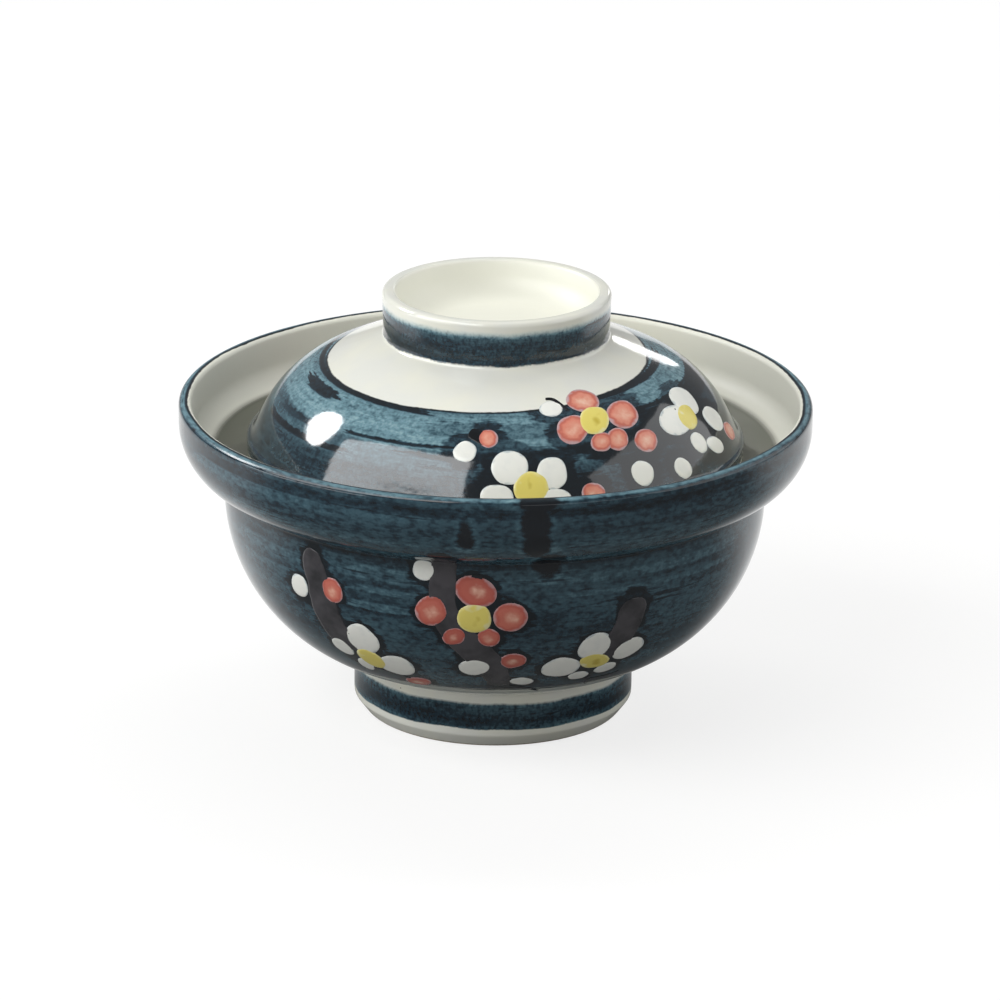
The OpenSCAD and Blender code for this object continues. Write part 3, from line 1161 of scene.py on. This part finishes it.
class DONBURI_OT_blossoms(bpy.types.Operator):
    """Lay the petals, buds and centres of the plum blossoms"""

    bl_idname = "donburi.blossoms"
    bl_label = "Plum blossoms"

    def execute(self, context):
        enamel = context.scene.donburi_enamel
        mould = dab_mould()
        white, coral, yellow = white_enamel(enamel), coral_enamel(enamel), yellow_enamel(enamel)
        petal, centre = enamel.petal_height, enamel.centre_height
        groups = (
            ("bowl", "bowl_white_petals", BOWL_WHITE, BOWL_SPRAYS, white, petal, "white_enamel"),
            ("bowl", "bowl_coral_petals", BOWL_CORAL, BOWL_SPRAYS, coral, petal, "coral_enamel"),
            ("bowl", "bowl_yellow_centres", BOWL_YELLOW, BOWL_SPRAYS, yellow, centre, "yellow_enamel"),
            ("lid", "lid_white_petals", LID_WHITE, LID_SPRAYS, white, petal, "white_enamel"),
            ("lid", "lid_coral_petals", LID_CORAL, LID_SPRAYS, coral, petal, "coral_enamel"),
            ("lid", "lid_yellow_centres", LID_YELLOW, LID_SPRAYS, yellow, centre, "yellow_enamel"),
        )
        for body, name, rows, sprays, material, height, slot in groups:
            parts = [
                lay_dab(mould, laid[body], row, height, enamel.sink, CORAL_THINNESS[body], seed)
                for seed, row in enumerate(around_the_back(rows, sprays))
            ]
            joined(name, parts, material, body)
        bpy.data.objects.remove(mould)
        return {"FINISHED"}


def softbox(name, at, aim, width, depth, radiance, roll=0, shape="RECTANGLE", lights=True, mirrored=True):
    """A lamp of an even brightness that stands at a place and faces another. One that lights nothing is a
    card that only the glaze mirrors."""
    bpy.ops.object.select_all(action="DESELECT")
    bpy.ops.object.light_add(type="AREA", location=at)
    lamp = bpy.context.object
    lamp.name = lamp.data.name = name
    lamp.data.shape = shape
    lamp.data.size, lamp.data.size_y = width, depth
    lamp.data.energy = radiance * pi * width * depth
    facing = (Vector(aim) - Vector(at)).to_track_quat("-Z", "Y").to_matrix()
    lamp.rotation_euler = (facing @ Matrix.Rotation(radians(roll), 3, "Z")).to_euler()
    lamp.visible_diffuse, lamp.visible_glossy = lights, mirrored


class DONBURI_OT_stage(bpy.types.Operator):
    """Set up the floor, the lamps, the surroundings and the camera"""

    bl_idname = "donburi.stage"
    bl_label = "Studio"

    def execute(self, context):
        studio = context.scene.donburi_studio
        scene = context.scene
        bpy.ops.object.select_all(action="DESELECT")
        bpy.ops.mesh.primitive_plane_add(size=FLOOR_SIZE)
        floor = bpy.context.object
        floor.name = "studio_floor"
        floor.data.materials.append(self.floor_paper(studio))

        middle = (0, 0, 0.08)
        key = {"roll": 40, "shape": "ELLIPSE", "lights": False}
        softbox("key", (-1.168, 0.527, 0.867), middle, 0.44, 0.66, 11, **key)
        softbox("front_left", (-0.72, -0.398, 0.87), (-0.02, 0.258, 0.595), 1.32, 0.68, 4.2, roll=12)
        softbox("left", (-1.5, -0.5, 0.13), middle, 1.6, 0.24, 5)
        softbox("front_right", (0.9, -1.5, 0.25), middle, 1.4, 0.45, 0.7)
        softbox("overhead", (0, 0.82, 1.42), middle, 2, 0.45, 3.5, mirrored=False)
        softbox("right", (1.4, 0.12, 0.75), middle, 2.3, 1.1, 1.1)
        softbox("back_strip", (0.46, 1.72, 0.5), middle, 0.16, 0.25, 4)

        world = bpy.data.worlds.new("studio_world")
        scene.world = world
        world.use_nodes = True
        background = world.node_tree.nodes["Background"]
        background.inputs["Color"].default_value = (1, 1, 1, 1)
        background.inputs["Strength"].default_value = studio.world

        camera = bpy.data.objects.new("camera", bpy.data.cameras.new("camera"))
        scene.collection.objects.link(camera)
        target = Vector((0, 0, studio.target))
        back = Vector((0, -cos(studio.elevation), sin(studio.elevation)))
        camera.location = target + back * studio.distance
        camera.data.sensor_width = SENSOR_WIDTH
        camera.data.lens = studio.lens
        pixel = studio.distance * SENSOR_WIDTH / studio.lens / PHOTO_WIDTH
        right, up = PHOTO_SHIFT
        aim = target + Vector((right * pixel, 0, up * pixel / cos(studio.elevation)))
        turn = (aim - camera.location).to_track_quat("-Z", "Y")
        camera.rotation_euler = (turn.to_matrix() @ Matrix.Rotation(studio.roll, 3, "Z")).to_euler()
        scene.camera = camera
        scene.view_settings.view_transform = "Standard"
        return {"FINISHED"}

    def floor_paper(self, studio):
        """Pale seamless paper: matt, even, and white to the eye."""
        material, add = new_material("Pale seamless paper")
        rays = ("Is Camera Ray", "Is Glossy Ray", "Is Transmission Ray")
        looked_at, glossy, through = (add("LightPath", out=ray) for ray in rays)
        place = add("TexCoord", out="Object")
        # Painted shade for reflections: in front of the bowl the paper is mirrored without its glow, as if
        # the bowl shaded it, and slant lets the glow come nearer the front at the left
        slant = 0.13
        depth = add("VectorMath", (place, (-slant, 1, 0)), out="Value", operation="DOT_PRODUCT")
        right = add("VectorMath", (place, (1, 0, 0)), out="Value", operation="DOT_PRODUCT")
        aside = add("Math", (right,), operation="ABSOLUTE")
        depth = add("Math", (aside, slant, depth), operation="MULTIPLY_ADD")
        far = add("MapRange", (depth, -0.2 * studio.shade, studio.shade), **SOFT)
        mirrored = add("Math", (glossy, through), operation="ADD")
        seen = add("Math", (mirrored, far, looked_at), operation="MULTIPLY_ADD")
        glow = add("Math", (seen, studio.glow), operation="MULTIPLY")
        paper = add("BsdfDiffuse", {"Color": rgba(studio.floor)})
        shine = add("Emission", {"Strength": glow})
        add("OutputMaterial", {"Surface": add("AddShader", (paper, shine))})
        return material


class DONBURI_PT_panel(bpy.types.Panel):
    """Lists the steps that make the bowl"""

    bl_label = "Lidded donburi bowl"
    bl_idname = "DONBURI_PT_panel"
    bl_space_type = "VIEW_3D"
    bl_region_type = "UI"
    bl_category = "Donburi"

    def draw(self, context):
        for operator in STEPS:
            self.layout.operator(operator.bl_idname)
        for group in SETTINGS:
            box = self.layout.box()
            settings = getattr(context.scene, group)
            for name in settings.bl_rna.properties.keys():
                if name not in ("rna_type", "name"):
                    box.prop(settings, name)


SETTINGS = {
    "donburi_shape": TurnedShape,
    "donburi_paint": Brushwork,
    "donburi_enamel": Enamels,
    "donburi_studio": Studio,
}
STEPS = (DONBURI_OT_bowl, DONBURI_OT_lid, DONBURI_OT_branches, DONBURI_OT_blossoms, DONBURI_OT_stage)
CLASSES = (*SETTINGS.values(), *STEPS, DONBURI_PT_panel)


def register():
    for each in CLASSES:
        bpy.utils.register_class(each)
    for name, group in SETTINGS.items():
        setattr(bpy.types.Scene, name, PointerProperty(type=group))


def unregister():
    for name in SETTINGS:
        delattr(bpy.types.Scene, name)
    for each in reversed(CLASSES):
        bpy.utils.unregister_class(each)


def main():
    register()
    bpy.ops.donburi.bowl()
    bpy.ops.donburi.lid()
    bpy.ops.donburi.branches()
    bpy.ops.donburi.blossoms()
    bpy.ops.donburi.stage()


if __name__ == "__main__":
    main()
